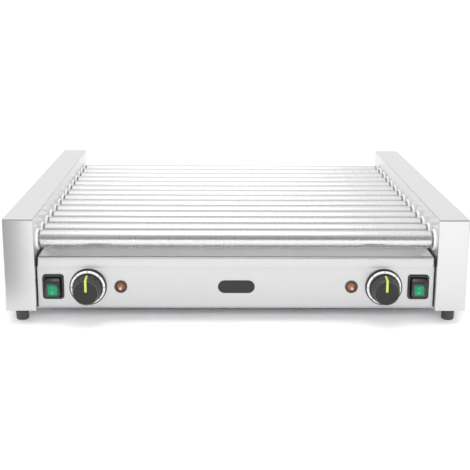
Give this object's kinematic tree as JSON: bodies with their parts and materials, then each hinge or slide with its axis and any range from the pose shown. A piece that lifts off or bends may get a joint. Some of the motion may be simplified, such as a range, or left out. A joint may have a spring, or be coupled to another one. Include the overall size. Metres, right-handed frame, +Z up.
{
  "type": "hot dog roller grill",
  "caption": "Counter-top roller grill: heated rollers turned by a chain between two side housings, over a slide-out drip tray and a twin-zone control panel.",
  "frame": {"origin": "on the counter, under the middle of the bounding box (knobs and cable gland included)", "axes": "+X to the operator's right along the rollers, +Y to the back, +Z up"},
  "size_m": [0.56, 0.539, 0.132],
  "materials": {
    "stainless_brushed": "fine brushed",
    "stainless_polished": "bright annealed",
    "roller_steel": "polished",
    "zinc_steel": "zinc plated",
    "element_steel": "heat darkened",
    "bush_white": "matt",
    "motor_grey": "satin",
    "guide_plastic": "matt",
    "lamp_bronze": "satin",
    "lamp_amber": "clear gloss",
    "badge_grey": "satin",
    "black_plastic": "fine texture",
    "terminal_ceramic": "satin",
    "foot_rubber": "matt",
    "dial_silver": "satin",
    "rocker_green": "gloss"
  },
  "bodies": {
    "casing": {"side_cover_left": "stainless_brushed", "side_cover_right": "stainless_brushed", "bearing_plate_left": "stainless_polished", "bearing_plate_right": "stainless_polished", "base_plate": "zinc_steel", "front_panel": "stainless_brushed", "rear_panel": "stainless_brushed", "tray_runners": "zinc_steel", "roller_bushes": "bush_white", "heating_elements": "element_steel", "element_brackets": "zinc_steel", "gear_motor": "motor_grey", "drive_chain": "zinc_steel", "chain_guide": "guide_plastic", "thermostats": "zinc_steel", "lamp_bezels": "lamp_bronze", "lamp_lenses": "lamp_amber", "badge_plate": "badge_grey", "cable_gland": "black_plastic", "terminal_block": "terminal_ceramic", "feet": "foot_rubber", "screws": "zinc_steel", "switch_housings": "black_plastic", "dials": "dial_silver"},
    "tray": {"drip_tray": "stainless_polished"},
    "roller_01": {"roller_01": "roller_steel", "sprocket_01": "zinc_steel"},
    "roller_02": {"roller_02": "roller_steel", "sprocket_02": "zinc_steel"},
    "roller_03": {"roller_03": "roller_steel", "sprocket_03": "zinc_steel"},
    "roller_04": {"roller_04": "roller_steel", "sprocket_04": "zinc_steel"},
    "roller_05": {"roller_05": "roller_steel", "sprocket_05": "zinc_steel"},
    "roller_06": {"roller_06": "roller_steel", "sprocket_06": "zinc_steel"},
    "roller_07": {"roller_07": "roller_steel", "sprocket_07": "zinc_steel"},
    "roller_08": {"roller_08": "roller_steel", "sprocket_08": "zinc_steel"},
    "roller_09": {"roller_09": "roller_steel", "sprocket_09": "zinc_steel"},
    "roller_10": {"roller_10": "roller_steel", "sprocket_10": "zinc_steel"},
    "roller_11": {"roller_11": "roller_steel", "sprocket_11": "zinc_steel"},
    "roller_12": {"roller_12": "roller_steel", "sprocket_12": "zinc_steel"},
    "roller_13": {"roller_13": "roller_steel", "sprocket_13": "zinc_steel"},
    "roller_14": {"roller_14": "roller_steel", "sprocket_14": "zinc_steel"},
    "motor_shaft": {"motor_sprocket": "zinc_steel"},
    "knob_left": {"knob_left": "black_plastic", "thermostat_spindle_left": "zinc_steel"},
    "rocker_left": {"rocker_left": "rocker_green"},
    "knob_right": {"knob_right": "black_plastic", "thermostat_spindle_right": "zinc_steel"},
    "rocker_right": {"rocker_right": "rocker_green"}
  },
  "joints": [
    {"name": "roller_turn_01", "type": "hinge", "parent": "casing", "child": "roller_01", "pos_m": [0, -0.2275, 0.1013], "axis": [1, 0, 0], "continuous": true},
    {"name": "roller_turn_02", "type": "hinge", "parent": "casing", "child": "roller_02", "pos_m": [0, -0.193, 0.1013], "axis": [1, 0, 0], "continuous": true},
    {"name": "roller_turn_03", "type": "hinge", "parent": "casing", "child": "roller_03", "pos_m": [0, -0.1585, 0.1013], "axis": [1, 0, 0], "continuous": true},
    {"name": "roller_turn_04", "type": "hinge", "parent": "casing", "child": "roller_04", "pos_m": [0, -0.124, 0.1013], "axis": [1, 0, 0], "continuous": true},
    {"name": "roller_turn_05", "type": "hinge", "parent": "casing", "child": "roller_05", "pos_m": [0, -0.0895, 0.1013], "axis": [1, 0, 0], "continuous": true},
    {"name": "roller_turn_06", "type": "hinge", "parent": "casing", "child": "roller_06", "pos_m": [0, -0.055, 0.1013], "axis": [1, 0, 0], "continuous": true},
    {"name": "roller_turn_07", "type": "hinge", "parent": "casing", "child": "roller_07", "pos_m": [0, -0.0205, 0.1013], "axis": [1, 0, 0], "continuous": true, "deforming": ["drive_chain"]},
    {"name": "roller_turn_08", "type": "hinge", "parent": "casing", "child": "roller_08", "pos_m": [0, 0.014, 0.1013], "axis": [1, 0, 0], "continuous": true},
    {"name": "roller_turn_09", "type": "hinge", "parent": "casing", "child": "roller_09", "pos_m": [0, 0.0485, 0.1013], "axis": [1, 0, 0], "continuous": true},
    {"name": "roller_turn_10", "type": "hinge", "parent": "casing", "child": "roller_10", "pos_m": [0, 0.083, 0.1013], "axis": [1, 0, 0], "continuous": true},
    {"name": "roller_turn_11", "type": "hinge", "parent": "casing", "child": "roller_11", "pos_m": [0, 0.1175, 0.1013], "axis": [1, 0, 0], "continuous": true},
    {"name": "roller_turn_12", "type": "hinge", "parent": "casing", "child": "roller_12", "pos_m": [0, 0.152, 0.1013], "axis": [1, 0, 0], "continuous": true},
    {"name": "roller_turn_13", "type": "hinge", "parent": "casing", "child": "roller_13", "pos_m": [0, 0.1865, 0.1013], "axis": [1, 0, 0], "continuous": true},
    {"name": "roller_turn_14", "type": "hinge", "parent": "casing", "child": "roller_14", "pos_m": [0, 0.221, 0.1013], "axis": [1, 0, 0], "continuous": true},
    {"name": "motor_turn", "type": "hinge", "parent": "casing", "child": "motor_shaft", "pos_m": [-0.2548, -0.00325, 0.042], "axis": [1, 0, 0], "continuous": true},
    {"name": "knob_turn_left", "type": "hinge", "parent": "casing", "child": "knob_left", "pos_m": [-0.1803, -0.2525, 0.045], "axis": [0, 1, 0], "range_deg": [0, 270]},
    {"name": "rocker_tilt_left", "type": "hinge", "parent": "casing", "child": "rocker_left", "pos_m": [-0.2227, -0.2405, 0.045], "axis": [1, 0, 0], "range_deg": [0, 12]},
    {"name": "knob_turn_right", "type": "hinge", "parent": "casing", "child": "knob_right", "pos_m": [0.1803, -0.2525, 0.045], "axis": [0, 1, 0], "range_deg": [0, 270]},
    {"name": "rocker_tilt_right", "type": "hinge", "parent": "casing", "child": "rocker_right", "pos_m": [0.2227, -0.2405, 0.045], "axis": [1, 0, 0], "range_deg": [0, 12]},
    {"name": "tray_slide", "type": "slide", "parent": "casing", "child": "tray", "axis": [0, -1, 0], "range_m": [0, 0.4]}
  ],
  "couplings": [
    {"joint": "roller_turn_01", "follows": "roller_turn_07", "ratio": 1},
    {"joint": "roller_turn_02", "follows": "roller_turn_07", "ratio": 1},
    {"joint": "roller_turn_03", "follows": "roller_turn_07", "ratio": 1},
    {"joint": "roller_turn_04", "follows": "roller_turn_07", "ratio": 1},
    {"joint": "roller_turn_05", "follows": "roller_turn_07", "ratio": 1},
    {"joint": "roller_turn_06", "follows": "roller_turn_07", "ratio": 1},
    {"joint": "roller_turn_08", "follows": "roller_turn_07", "ratio": 1},
    {"joint": "roller_turn_09", "follows": "roller_turn_07", "ratio": 1},
    {"joint": "roller_turn_10", "follows": "roller_turn_07", "ratio": 1},
    {"joint": "roller_turn_11", "follows": "roller_turn_07", "ratio": 1},
    {"joint": "roller_turn_12", "follows": "roller_turn_07", "ratio": 1},
    {"joint": "roller_turn_13", "follows": "roller_turn_07", "ratio": 1},
    {"joint": "roller_turn_14", "follows": "roller_turn_07", "ratio": 1},
    {"joint": "motor_turn", "follows": "roller_turn_07", "ratio": 0.66667}
  ]
}
